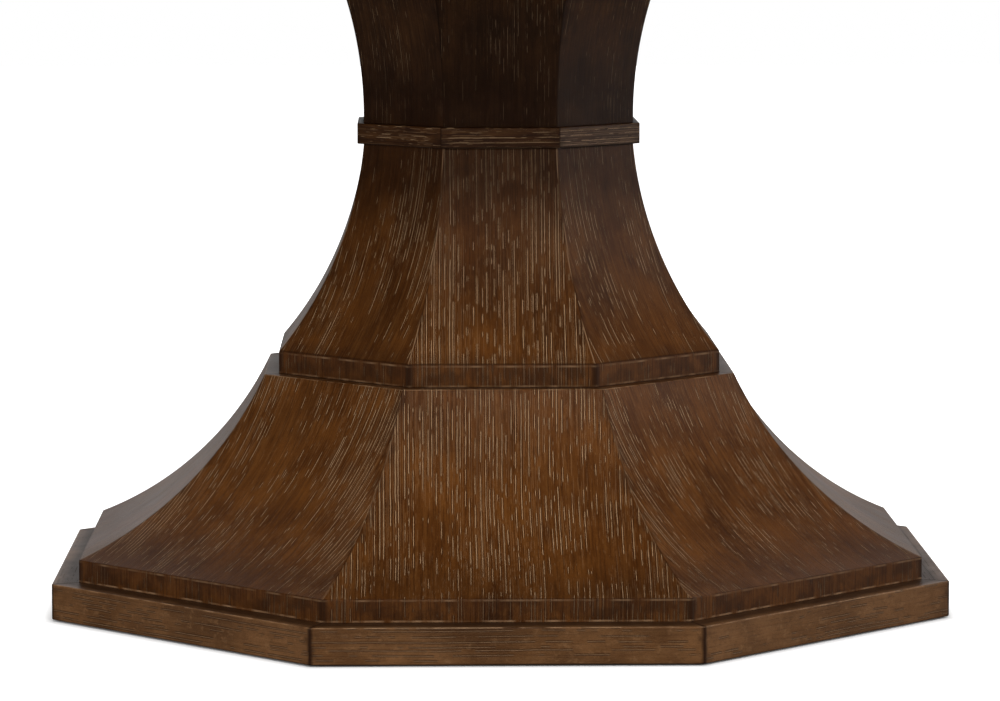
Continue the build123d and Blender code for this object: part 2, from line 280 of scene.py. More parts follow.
@dataclass(frozen=True)
class LimedOak(Finish):
    """Brown-stained, brushed oak: pale filler in its pores, glaze at its mitres, painted shade in its
    corners, satin lacquer.

    Attributes:
        name: the material's name.
        deep: stain where it took darkest.
        warm: stain where it took reddest.
        light: stain over hard, pale wood.
        shade: the darkest brushed lines; it also colours the painted shadow along the wide dashes.
        pore: the pale filler.
        glaze_and_shade_colour: the dark colour of the glaze at the mitres, of the darker upright edge and
            of the painted shade in the corners.
        bared: wood that is rubbed through to.
        glue: the line between two veneer leaves.
        filler: how much of the filler was left in the wide pores.
        fine: how much was left in the fine pores.
        wide_pores: distance between the wide dashes of filler, their length and half their width.
        fine_pores: the same of the fine dashes.
        corner_shade_strength: how dark the painted shade in the corners is.
        mitre: how dark the glaze at the mitres is.
        corners: corners where shade is painted on, as (reach, height, spread in millimetres, strength).
        mitre_width: how far the glaze runs out from a mitre.
        arrises: outer arrises that are rubbed lighter, as (reach, height, strength).
        rubbing: how much lighter the ridges at the mitres are rubbed.
        edge: reach of an upright lower edge that is coloured darker, or 0.
        edge_shade: how much darker that edge is.
        streaky: how much the stain runs in streaks.
        blotch: how blotchy the stain is at the scale of a fingertip.
        thread: brushed lines per millimetre.
        tight: how much less open its grain is than is usual.
        crowded: how much more open the grain is towards the mitres than in the middle.
        leaf: width of the veneer leaves that the face is laid up from, or 0.
        gloss_break: roughness of the lacquer.
        sheen: strength of the lacquer's reflection.
    """

    name: str
    deep: Colour = (0.066, 0.0205, 0.0038)
    warm: Colour = (0.125, 0.042, 0.0075)
    light: Colour = (0.155, 0.062, 0.016)
    shade: Colour = (0.024, 0.0075, 0.0022)
    pore: Colour = (0.5, 0.31, 0.165)
    # the dark colour of the glaze and of the shade painted in the corners
    glaze_and_shade_colour: Colour = (0.016, 0.0055, 0.002)
    bared: Colour = (0.36, 0.21, 0.11)
    glue: Colour = (0.02, 0.008, 0.003)
    filler: float = 0.7
    fine: float = 0.17
    wide_pores: tuple[float, float, float] = (4.9, 22.0, 0.32)
    fine_pores: tuple[float, float, float] = (2.1, 14.0, 0.19)
    # how dark the shade painted in the corners is
    corner_shade_strength: float = 0.8
    mitre: float = 0.6
    corners: tuple[tuple[float, float, float, float], ...] = ()
    mitre_width: float = 2.6
    arrises: tuple[tuple[float, float, float], ...] = ()
    rubbing: float = 0.55
    edge: float = 0.0
    edge_shade: float = 0.45
    streaky: float = 1.0
    blotch: float = 0.55
    thread: float = 0.55
    tight: float = 0.0
    crowded: float = 0.0
    leaf: float = 0.0
    gloss_break: float = 0.4
    sheen: float = 0.34

    def surface(self, graph: Graph) -> dict[str, Any]:
        """Stain, pores, glaze, painted shade and lacquer.

        Args:
            graph: the material's tree.

        Returns:
            Numbers, colours and values by the name of the shader's socket.
        """
        along, across, seed = graph.layer("grain")
        seam = None
        if self.leaf:
            leaf = (across / self.leaf).floor()
            seed = seed + leaf * 7.0
            inside = (across / self.leaf).fract() * self.leaf
            seam = inside.least(self.leaf - inside).ease(0.5, 0.15)
        wander = graph.cloud(along * 0.004, across * 0.006, seed, 1.0) * 6.0
        wobble = graph.cloud(along * 0.05, across * 0.05, seed + 3.0, 1.0) * 0.9
        line = across + wander + wobble
        openness = (seed.fract() - 0.5) * 0.22 - self.tight
        figure = graph.cloud(along * 0.0085, line * 0.018, seed + 47.0, 2.0)
        figure = figure + openness + self.crowding(graph)
        stain, dark = self.stain(graph, along, line, seed)
        wide, rim = self.pores(graph, (along, line, seed), figure, *self.wide_pores)
        fine, _ = self.pores(graph, (along, line, seed + 19.0), figure, *self.fine_pores)
        # painted shadow along the rim of each wide dash
        stain = graph.blend(rim * 0.75, stain, self.shade)
        bare = stain
        stain = graph.blend(fine * self.fine, stain, self.pore)
        stain = graph.blend(wide * self.filler, stain, self.pore)
        stain = graph.blend(self.upright(graph) * 0.6, stain, bare)
        # glaze at the mitres, a darker upright edge and painted shade in the corners
        stain, glaze_and_shade = self.paint_glaze_and_shade(graph, stain)
        if seam is not None:
            stain = graph.blend(seam * 0.75, stain, self.glue)
        cloudy = graph.cloud(along * 0.02, line * 0.03, seed + 60.0, 3.0)
        rough = cloudy * 0.12 + (self.gloss_break - 0.06) + wide * 0.2 + fine * 0.06
        height = dark * -0.05 + wide * -0.10 + fine * -0.035 + cloudy * 0.03
        return {
            "Base Color": stain,
            "Roughness": rough + glaze_and_shade * 0.12,
            "Specular IOR Level": self.sheen,
            "Normal": graph.bump(height, MM),
        }

    def stain(self, graph: Graph, along: Value, line: Value, seed: Value) -> tuple[Any, Value]:
        """The stained wood before any filler.

        Args:
            graph: the material's tree.
            along: distance along the grain, in millimetres.
            line: distance across it.
            seed: what sets this piece apart.

        Returns:
            The colour, and where the dark brushed lines are.
        """
        mottle = graph.cloud(along * 0.012, line * 0.014, seed + 21.0, 3.0, 0.55)
        patch = graph.cloud(along * 0.03, line * 0.032, seed + 33.0, 3.0, 0.6)
        streak = graph.cloud(along * 0.008, line * 0.24, seed + 9.0, 3.0, 0.6)
        thread = graph.cloud(along * 0.025, line * self.thread, seed + 13.0, 2.0, 0.6)
        gloom = graph.cloud(along * 0.01, line * 0.011, seed + 83.0, 2.0).ease(0.48, 0.66)
        grit = graph.cloud(along * 0.5, line * 1.3, seed + 71.0, 2.0, 0.7)
        spots = graph.cloud(along * 0.11, line * 0.14, seed + 97.0, 3.0, 0.6)
        tint = mottle.ease(0.36, 0.64) * 0.6 + patch.ease(0.35, 0.68) * 0.4
        colour = graph.blend(gloom * 0.42, graph.blend(tint, self.deep, self.warm), self.shade)
        colour = graph.blend(spots.ease(0.46, 0.32) * (0.4 * self.blotch), colour, self.deep)
        colour = graph.blend(spots.ease(0.54, 0.7) * (0.4 * self.blotch), colour, self.light)
        colour = graph.blend(streak.ease(0.45, 0.75) * (0.35 * self.streaky), colour, self.light)
        colour = graph.blend(streak.ease(0.48, 0.3) * (0.35 * self.streaky), colour, self.deep)
        dark = thread.ease(0.5, 0.34)
        colour = graph.blend(dark * (0.46 * self.streaky), colour, self.shade)
        colour = graph.blend(thread.ease(0.54, 0.72) * (0.34 * self.streaky), colour, self.light)
        colour = graph.blend(grit.ease(0.47, 0.3) * 0.4, colour, self.shade)
        return graph.blend(grit.ease(0.55, 0.75) * 0.22, colour, self.light), dark

    @staticmethod
    def pores(
        graph: Graph,
        spot: tuple[Value, Value, Value],
        figure: Value,
        lane: float,
        length: float,
        width: float,
    ) -> tuple[Value, Value]:
        """Broken dashes of filler in lanes along the grain.

        Args:
            graph: the material's tree.
            spot: distance along the grain, distance across it, and the seed.
            figure: where the pores are open, about one half.
            lane: mean distance between dashes, in millimetres.
            length: about how long they are.
            width: half their width.

        Returns:
            How much filler shows, and how dark the painted shadow along the rim of each dash is.
        """
        along, line, seed = spot
        lanes = line / lane
        number = lanes.floor()
        middle = (graph.chance(number, seed) - 0.5) * 0.62 + 0.5
        off = (lanes.fract() - middle).size() * lane
        ragged = graph.cloud(along * 0.12, number * 5.1, seed + 2.0, 1.0)
        run = graph.cloud(along / length, number * 3.7, seed + 11.0, 1.0)
        fullness = graph.chance(number, seed + 4.0) * 0.2 + figure * 0.8
        shown = (run + fullness).ease(1.0, 1.06)
        half = ragged * (1.3 * width) + 0.35 * width
        return shown * off.ease(half + 0.14, half - 0.12), shown * off.ease(half + 1.4, half + 0.3)

    def crowding(self, graph: Graph) -> Value:
        """How much more open the grain is near the mitres, or less open in the middle of a panel.

        Args:
            graph: the material's tree.

        Returns:
            What is added to the figure.
        """
        across, reach, _ = graph.layer("place")
        to_mitre = reach * MITRE - across.size()
        return (to_mitre.ease(95.0, 10.0) - 0.4) * self.crowded

    def upright(self, graph: Graph) -> Value:
        """Whether a point lies on the upright lower edge."""
        _, reach, _ = graph.layer("place")
        return reach.ease(self.edge - 1.6, self.edge - 0.6) if self.edge else reach * 0.0

    def paint_glaze_and_shade(self, graph: Graph, stain: Any) -> tuple[Any, Value]:
        """Glaze at the mitres, a darker upright edge, painted shade in the corners, and arrises rubbed
        lighter.

        Args:
            graph: the material's tree.
            stain: the colour so far.

        Returns:
            The new colour, and how much glaze and painted shade there is.
        """
        across, reach, height = graph.layer("place")
        to_mitre = reach * MITRE - across.size()
        uneven = graph.cloud(across * 0.05, reach * 0.05, height * 0.05, 3.0)
        upright = self.upright(graph)
        line = to_mitre.ease(uneven * self.mitre_width + 0.5, 0.1) * self.mitre
        soft = to_mitre.ease(16.0, 0.0) * uneven.ease(0.42, 0.7) * (0.8 * self.mitre)
        smudge = upright * to_mitre.ease(uneven * 26.0, 1.0) * 0.85
        stripes = upright * graph.cloud(across * 0.42, 0.0, 3.0, 2.0, 0.6).ease(0.5, 0.34) * 0.7
        glaze_and_shade = line.most(soft).most(smudge).most(stripes)
        # painted shade: each listed corner is darkened as if shade fell in it, out to its spread
        for corner in self.corners:
            away = self.distance(reach, height, corner[:2])
            wide = away.ease(corner[2], corner[2] * 0.2) * (uneven * 0.6 + 0.25) * corner[3]
            corner_shade = away.ease(uneven * 4.0 + 1.0, 0.4).most(wide.least(1.0))
            glaze_and_shade = glaze_and_shade.most(corner_shade * self.corner_shade_strength)
        # the upright edge is darker all over, unevenly
        glaze_and_shade = glaze_and_shade.most(upright * (uneven.ease(0.38, 0.62) + 0.4) * self.edge_shade)
        # the glaze and the painted shade darken the stain
        stain = graph.blend(glaze_and_shade, stain, self.glaze_and_shade_colour)
        patchy = graph.cloud(reach * 0.011, height * 0.011, across.ease(-1.0, 1.0) * 7.0, 1.0)
        rubbed = to_mitre.ease(1.7, 0.8) * patchy.ease(0.47, 0.6) * self.rubbing * (1.0 - upright)
        for arris in self.arrises:
            away = self.distance(reach, height, arris[:2])
            rubbed = rubbed.most(away.ease(1.4, 0.5) * uneven.ease(0.35, 0.7) * arris[2])
        return graph.blend(rubbed, stain, self.bared), glaze_and_shade

    @staticmethod
    def distance(reach: Value, height: Value, corner: Point) -> Value:
        """How far a point of the section is from a corner of it."""
        level, rise = reach - corner[0], height - corner[1]
        return (level * level + rise * rise).root()


@dataclass(frozen=True)
class PlainWood(Finish):
    """Raw sanded or sawn wood, with its grain along X.

    Attributes:
        name: the material's name.
        pale: the lighter of its colours.
        dark: the darker.
        fibre: lines per metre across the grain.
        saw: depth of the saw's or sander's marks, in metres.
    """

    name: str
    pale: Colour
    dark: Colour
    fibre: float = 90.0
    saw: float = 0.0001

    def surface(self, graph: Graph) -> dict[str, Any]:
        """Growth rings, flecks and sanding marks.

        Args:
            graph: the material's tree.

        Returns:
            Numbers, colours and values by the name of the shader's socket.
        """
        x, y, z = graph.parts(graph.node("TexCoord").outputs["Object"])
        rings = graph.cloud(x * 3.0, y * self.fibre * 0.35 + z * 40.0, z * 12.0, 4.0, 0.6)
        fibre = graph.cloud(x * 16.0, y * self.fibre * 6.0, z * self.fibre * 6.0, 3.0, 0.7)
        fleck = graph.cloud(x * 90.0, y * 700.0, z * 700.0, 1.0).ease(0.64, 0.76)
        stained = graph.cloud(x * 2.0, y * 2.0, z * 2.0, 2.0).ease(0.45, 0.8)
        shade = tuple(0.55 * part for part in self.dark)
        colour = graph.blend(rings.ease(0.38, 0.66), self.pale, self.dark)
        colour = graph.blend(fibre.ease(0.5, 0.75) * 0.5, colour, self.dark)
        colour = graph.blend(fleck * 0.45, colour, shade)
        colour = graph.blend(stained * 0.25, colour, shade)
        rough = fibre * 0.2 + 0.52
        return {
            "Base Color": colour,
            "Roughness": rough,
            "Normal": graph.bump(fibre - fleck * 0.5, self.saw),
        }


@dataclass(frozen=True)
class ZincPlate(Finish):
    """Bright zinc plate on turned and rolled steel.

    Attributes:
        name: the material's name.
        bright: the plate's colour.
        dull: where it has bloomed.
    """

    name: str = "bright_zinc_plate"
    bright: Colour = (0.62, 0.63, 0.65)
    dull: Colour = (0.4, 0.4, 0.39)

    def surface(self, graph: Graph) -> dict[str, Any]:
        """Plate with bloom, fine turning marks and small pits.

        Args:
            graph: the material's tree.

        Returns:
            Numbers, colours and values by the name of the shader's socket.
        """
        x, y, z = graph.parts(graph.node("TexCoord").outputs["Object"])
        bloom = graph.cloud(x * 160.0, y * 160.0, z * 160.0, 4.0, 0.65)
        turning = graph.cloud(x * 120.0, y * 120.0, z * 5200.0, 2.0)
        pits = graph.cloud(x * 1900.0, y * 1900.0, z * 1900.0, 1.0).ease(0.66, 0.74)
        colour = graph.blend(bloom.ease(0.42, 0.68) * 0.8, self.bright, self.dull)
        colour = graph.blend(pits * 0.6, colour, (0.17, 0.16, 0.15))
        return {
            "Base Color": colour,
            "Metallic": 1.0,
            "Roughness": bloom * 0.22 + 0.2 + pits * 0.2,
            "Normal": graph.bump(turning * 0.5 - pits, 0.00003),
        }


@dataclass(frozen=True)
class MouldedNylon(Finish):
    """Black moulded nylon with a spark-eroded skin.

    Attributes:
        name: the material's name.
        base: its colour.
        scuffed: where the floor has dulled it.
    """

    name: str = "moulded_nylon"
    base: Colour = (0.017, 0.017, 0.019)
    scuffed: Colour = (0.06, 0.058, 0.055)

    def surface(self, graph: Graph) -> dict[str, Any]:
        """Fine stipple, with scuffs near the floor.

        Args:
            graph: the material's tree.

        Returns:
            Numbers, colours and values by the name of the shader's socket.
        """
        x, y, z = graph.parts(graph.node("TexCoord").outputs["Object"])
        stipple = graph.cloud(x * 2400.0, y * 2400.0, z * 2400.0, 2.0)
        scratch = graph.cloud(x * 90.0, y * 700.0, z * 90.0, 3.0, 0.7)
        scuff = scratch.ease(0.55, 0.72) * z.ease(0.004, 0.0)
        return {
            "Base Color": graph.blend(scuff, self.base, self.scuffed),
            "Roughness": stipple * 0.2 + 0.4 + scuff * 0.2,
            "Normal": graph.bump(stipple, 0.00006),
        }


# ---- meshes -------------------------------------------------------------------------------------
@dataclass
class Solid:
    """A closed mesh that is being gathered, in millimetres.

    Attributes:
        points: its vertices.
        faces: its faces, as numbers of vertices.
        grain: for each vertex, distance along the grain, distance across it, and a seed.
        place: for each vertex, its distance along the side, its reach and its height.
    """

    points: list[tuple[float, float, float]] = field(default_factory=list)
    faces: list[tuple[int, ...]] = field(default_factory=list)
    grain: list[tuple[float, float, float]] = field(default_factory=list)
    place: list[tuple[float, float, float]] = field(default_factory=list)

    def add(self, point: Sequence[float], grain: Sequence[float], place: Sequence[float]) -> int:
        """Adds a vertex and returns its number.

        Args:
            point: where it is.
            grain: distance along the grain, distance across it, and a seed.
            place: distance along the side, reach and height.

        Returns:
            Its number.
        """
        self.points.append(tuple(point))
        self.grain.append(tuple(grain))
        self.place.append(tuple(place))
        return len(self.points) - 1

    def skin(self, rings: list[list[int]], capped: bool = True) -> None:
        """Joins rings of vertices to a closed surface.

        Args:
            rings: rings of one length, in order.
            capped: whether each end is closed with a face; if not, the last ring joins the first.
        """
        count = len(rings[0])
        pairs = list(zip(rings, rings[1:] if capped else rings[1:] + rings[:1]))
        for low, high in pairs:
            for here in range(count):
                there = (here + 1) % count
                self.faces.append((low[here], low[there], high[there], high[here]))
        if capped:
            self.faces.append(tuple(reversed(rings[0])))
            self.faces.append(tuple(rings[-1]))

    def build(self, name: str, finish: Finish, smooth: float = 32.0) -> bpy.types.Object:
        """Makes the object.

        Args:
            name: its name.
            finish: its finish.
            smooth: the sharpest turn, in degrees, that is shaded as one surface.

        Returns:
            The object, linked to the scene.
        """
        mesh = bpy.data.meshes.new(name)
        mesh.from_pydata([Vector(p) * MM for p in self.points], [], self.faces)
        for label, rows in (("grain", self.grain), ("place", self.place)):
            layer = mesh.attributes.new(label, "FLOAT_VECTOR", "POINT")
            layer.data.foreach_set("vector", [number for row in rows for number in row])
        return Workshop.dressed(mesh, name, finish, smooth)


class Workshop:
    """Shared ways of making outlines, finishing meshes and settling pieces."""

    @staticmethod
    def settle(obj: bpy.types.Object, body: str, node: str, slot: Slot) -> None:
        """Fixes a piece to its body in place of its CAD node.

        Args:
            obj: the piece.
            body: the body that it rides.
            node: the CAD node that it stands for.
            slot: its material slot; not used.
        """
        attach(obj, body)
        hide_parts(node)

    @staticmethod
    def dressed(
        mesh: bpy.types.Mesh, name: str, finish: Finish, smooth: float = 32.0
    ) -> bpy.types.Object:
        """An object with outward normals, smooth shading and its finish.

        Args:
            mesh: its mesh.
            name: its name.
            finish: its finish.
            smooth: the sharpest turn, in degrees, that is shaded as one surface.

        Returns:
            The object, linked to the scene.
        """
        obj = bpy.data.objects.new(name, mesh)
        bpy.context.scene.collection.objects.link(obj)
        Workshop.face_outwards(mesh)
        mesh.shade_smooth()
        mesh.set_sharp_from_angle(angle=math.radians(smooth))
        mesh.materials.clear()
        mesh.materials.append(finish.material())
        return obj

    @staticmethod
    def face_outwards(mesh: bpy.types.Mesh) -> None:
        """Turns every face outwards and splits the ones with many corners.

        Args:
            mesh: the mesh.
        """
        work = bmesh.new()
        work.from_mesh(mesh)
        bmesh.ops.recalc_face_normals(work, faces=work.faces)
        many = [face for face in work.faces if len(face.verts) > 4]
        bmesh.ops.triangulate(work, faces=many)
        work.to_mesh(mesh)
        work.free()

    @staticmethod
    def eased(corners: Sequence[tuple[float, float, float]], steps: int = 4) -> list[Point]:
        """A closed outline with rounded corners.

        Args:
            corners: (reach, height, radius) of each corner in order.
            steps: how many faces a rounding has.

        Returns:
            The outline's points, with one more beside each rounding to keep the flats flat.
        """
        outline: list[Point] = []
        count = len(corners)
        for number, (reach, height, radius) in enumerate(corners):
            here = Vector((reach, height))
            if not radius:
                outline.append((reach, height))
                continue
            before = Vector(corners[number - 1][:2]) - here
            after = Vector(corners[(number + 1) % count][:2]) - here
            half = before.angle(after) / 2
            back = radius / math.tan(half)
            to_before, to_after = before.normalized(), after.normalized()
            centre = here + (to_before + to_after).normalized() * (radius / math.sin(half))
            start = here + to_before * back
            end = here + to_after * back
            room = 2.2 * back + 1.0
            if before.length > room:
                outline.append(tuple(start + to_before * radius * 1.1))
            first, last = (start - centre).normalized(), (end - centre).normalized()
            for step in range(steps + 1):
                outline.append(tuple(centre + first.slerp(last, step / steps) * radius))
            if after.length > room:
                outline.append(tuple(end + to_after * radius * 1.1))
        return outline

    @staticmethod
    def lathe(
        solid: Solid,
        profile: Sequence[Point],
        centre: Point,
        steps: int,
        swell: Callable[..., float] | None = None,
    ) -> None:
        """Adds a turned solid about an upright axis.

        Args:
            solid: what it is added to.
            profile: (radius, height) from the axis at one end to the axis at the other, or a closed ring.
            centre: where the axis stands.
            steps: how many faces it has round it.
            swell: gives a radius from the profile's radius, the height and the angle.
        """
        open_ends = profile[0][0] == 0 and profile[-1][0] == 0
        body = profile[1:-1] if open_ends else profile
        rings = []
        for radius, height in body:
            ring = []
            for step in range(steps):
                angle = math.tau * step / steps
                out = swell(radius, height, angle) if swell else radius
                spot = (centre[0] + out * math.cos(angle), centre[1] + out * math.sin(angle), height)
                ring.append(solid.add(spot, (spot[0], spot[1], 0), (0, out, height)))
            rings.append(ring)
        solid.skin(rings, capped=open_ends)


@dataclass(frozen=True)
class Sweep:
    """A circular sweep from foot to head, as (reach, height), hollow on its outer side.

    Attributes:
        foot: its lower end.
        head: its upper end.
        sagitta: how far its middle lies behind the straight line.
    """

    foot: Point
    head: Point
    sagitta: float

    def centre(self) -> tuple[float, float, float]:
        """The circle's centre and its radius.

        Returns:
            The centre's reach and height, and the radius.
        """
        level, rise = self.head[0] - self.foot[0], self.head[1] - self.foot[1]
        chord = math.hypot(level, rise)
        radius = (chord**2 / 4 + self.sagitta**2) / (2 * self.sagitta)
        away = (radius - self.sagitta) / chord
        middle = (self.foot[0] + self.head[0]) / 2, (self.foot[1] + self.head[1]) / 2
        return middle[0] + away * rise, middle[1] - away * level, radius

    def reach(self, height: float, depth: float = 0.0) -> float:
        """The reach, at a height, of the surface that lies depth behind the outer one."""
        level, rise, radius = self.centre()
        return level - math.sqrt((radius + depth) ** 2 - (height - rise) ** 2)

    def height(self, reach: float, depth: float = 0.0) -> float:
        """The height, at a reach, of the surface that lies depth behind the outer one."""
        level, rise, radius = self.centre()
        return rise - math.sqrt((radius + depth) ** 2 - (level - reach) ** 2)

    def points(self, low: float, high: float, depth: float, count: int) -> list[Point]:
        """Points of that surface between two heights, even along the curve.

        Args:
            low: the lower height.
            high: the upper height.
            depth: how far the surface lies behind the outer one.
            count: how many points there are.

        Returns:
            The points, from low to high.
        """
        level, rise, radius = self.centre()
        radius += depth
        first, last = math.asin((low - rise) / radius), math.asin((high - rise) / radius)
        angles = [first + (last - first) * step / (count - 1) for step in range(count)]
        return [(level - radius * math.cos(a), rise + radius * math.sin(a)) for a in angles]


@dataclass
class Ring:
    """Eight like pieces of oak, mitred together round the octagon.

    Attributes:
        piece: the name that the pieces share.
        finish: their finish.
        run: which way their grain runs.
        outline: the closed section, counter-clockwise from the foot of the outer face.
        shown: how many points of the outline, from its start, belong to faces that show.
        openness: how open the grain of each piece is, from 0 to 1.
        easing: distance from the mitre and depth of the eased arris there, in millimetres.
    """

    piece: str
    finish: Finish
    run: Run
    outline: list[Point]
    shown: int
    openness: tuple[float, ...] = (0.5,) * SIDES
    easing: tuple[Point, ...] = ((0.0, 0.3), (0.35, 0.09), (0.9, 0.0), (2.2, 0.0))

    def build(self, pockets: "Pockets | None" = None) -> None:
        """Makes the eight pieces, each riding with the table and standing for its CAD node.

        Args:
            pockets: what is bored in the pieces over the glides, if anything.
        """
        for face in range(1, SIDES + 1):
            obj = self.solid(face).build(f"oak_{self.piece}_{face}", self.finish)
            if pockets is not None and face in GLIDE_FACES:
                pockets.cut(obj, self, face)
            Workshop.settle(obj, "table", f"{self.piece}_{face}", Slot.OAK)
        LOG.info("%s: %d pieces", self.piece, SIDES)

    @staticmethod
    def seed(piece: str, face: int, openness: float = 0.5) -> float:
        """Sets one piece's figure apart: its fraction is how open the grain is."""
        return random.Random(f"{piece}{face}").randint(0, 90) + openness

    @staticmethod
    def direction(face: int) -> float:
        """The angle that a face looks to, in radians from +X."""
        return math.radians(-90 + (face - 1) * 360 / SIDES)

    def normals(self) -> list[Vector]:
        """The way into the wood at each point of the section.

        Returns:
            One unit vector a point, as reach and height.
        """
        inward = []
        count = len(self.outline)
        for number in range(count):
            before, after = self.outline[number - 1], self.outline[(number + 1) % count]
            run = Vector((after[0] - before[0], after[1] - before[1])).normalized()
            inward.append(Vector((-run.y, run.x)))
        return inward

    def solid(self, face: int) -> Solid:
        """One piece of the ring, turned to its face.

        Args:
            face: the side's number, from 1.

        Returns:
            The piece.
        """
        made = Solid()
        seed = self.seed(self.piece, face, self.openness[face - 1])
        angle = self.direction(face)
        inward = self.normals()
        along = [0.0]
        for first, second in zip(self.outline, self.outline[1:]):
            along.append(along[-1] + math.dist(first, second))
        stations = [(-1, off, dip) for off, dip in self.easing]
        stations += [(1, off, dip) for off, dip in reversed(self.easing)]
        rings = []
        for side, off, dip in stations:
            ring = []
            for number, (reach, height) in enumerate(self.outline):
                eased = dip if number < self.shown else 0.0
                out = reach + inward[number].x * eased
                up = height + inward[number].y * eased
                x = side * (out * MITRE - off)
                spot = self.turned(x, out, up, angle)
                if self.run is Run.UP:
                    grain = (along[number], x, seed)
                else:
                    grain = (x, out + up, seed)
                ring.append(made.add(spot, grain, (x, out, up)))
            rings.append(ring)
        made.skin(rings)
        return made

    @staticmethod
    def turned(x: float, reach: float, height: float, angle: float) -> tuple[float, float, float]:
        """A point of a side, turned to where that side looks."""
        level = reach * math.cos(angle) - x * math.sin(angle)
        return level, reach * math.sin(angle) + x * math.cos(angle), height


@dataclass(frozen=True)
class Pockets:
    """Round pockets in the underside of the plinth, where the glides stand.

    Attributes:
        start: the height below the board that the bit starts from.
        steps: (radius, top) of each bore.
    """

    start: float = -5.0
    steps: tuple[Point, ...] = ((23.0, 9.0), (12.06, 10.5), (8.06, 29.0), (5.5, 37.0))

    def cut(self, obj: bpy.types.Object, ring: Ring, face: int) -> None:
        """Bores one board.

        Args:
            obj: the board.
            ring: the ring it belongs to.
            face: its number.
        """
        low = self.start
        profile: list[Point] = [(0.0, low)]
        for radius, top in self.steps:
            profile += [(radius, low), (radius, top)]
            low = top
        profile.append((0.0, low))
        drill = Solid()
        Workshop.lathe(drill, profile, Glides.centre(face), steps=64)
        bit = drill.build(f"bit_{face}", ring.finish)
        cutter = obj.modifiers.new("pocket", "BOOLEAN")
        cutter.operation = "DIFFERENCE"
        cutter.solver = "EXACT"
        cutter.object = bit
        bpy.context.view_layer.update()
        ready = obj.evaluated_get(bpy.context.evaluated_depsgraph_get())
        mesh = bpy.data.meshes.new_from_object(ready)
        obj.modifiers.clear()
        obj.data = mesh
        bpy.data.objects.remove(bit)
        self.relabel(mesh, Ring.seed(ring.piece, face, ring.openness[face - 1]), Ring.direction(face))
        mesh.materials.clear()
        mesh.materials.append(ring.finish.material())

    @staticmethod
    def relabel(mesh: bpy.types.Mesh, seed: float, angle: float) -> None:
        """Writes the grain and place of every vertex again, from where it is.

        Args:
            mesh: the bored board.
            seed: what sets it apart.
            angle: the angle that it looks to.
        """
        out = Vector((math.cos(angle), math.sin(angle), 0))
        side = Vector((-math.sin(angle), math.cos(angle), 0))
        for label in ("grain", "place"):
            if label in mesh.attributes:
                mesh.attributes.remove(mesh.attributes[label])
        grain, place = [], []
        for vertex in mesh.vertices:
            x, reach, height = vertex.co @ side / MM, vertex.co @ out / MM, vertex.co.z / MM
            grain += (x, reach + height, seed)
            place += (x, reach, height)
        for label, numbers in (("grain", grain), ("place", place)):
            layer = mesh.attributes.new(label, "FLOAT_VECTOR", "POINT")
            layer.data.foreach_set("vector", numbers)


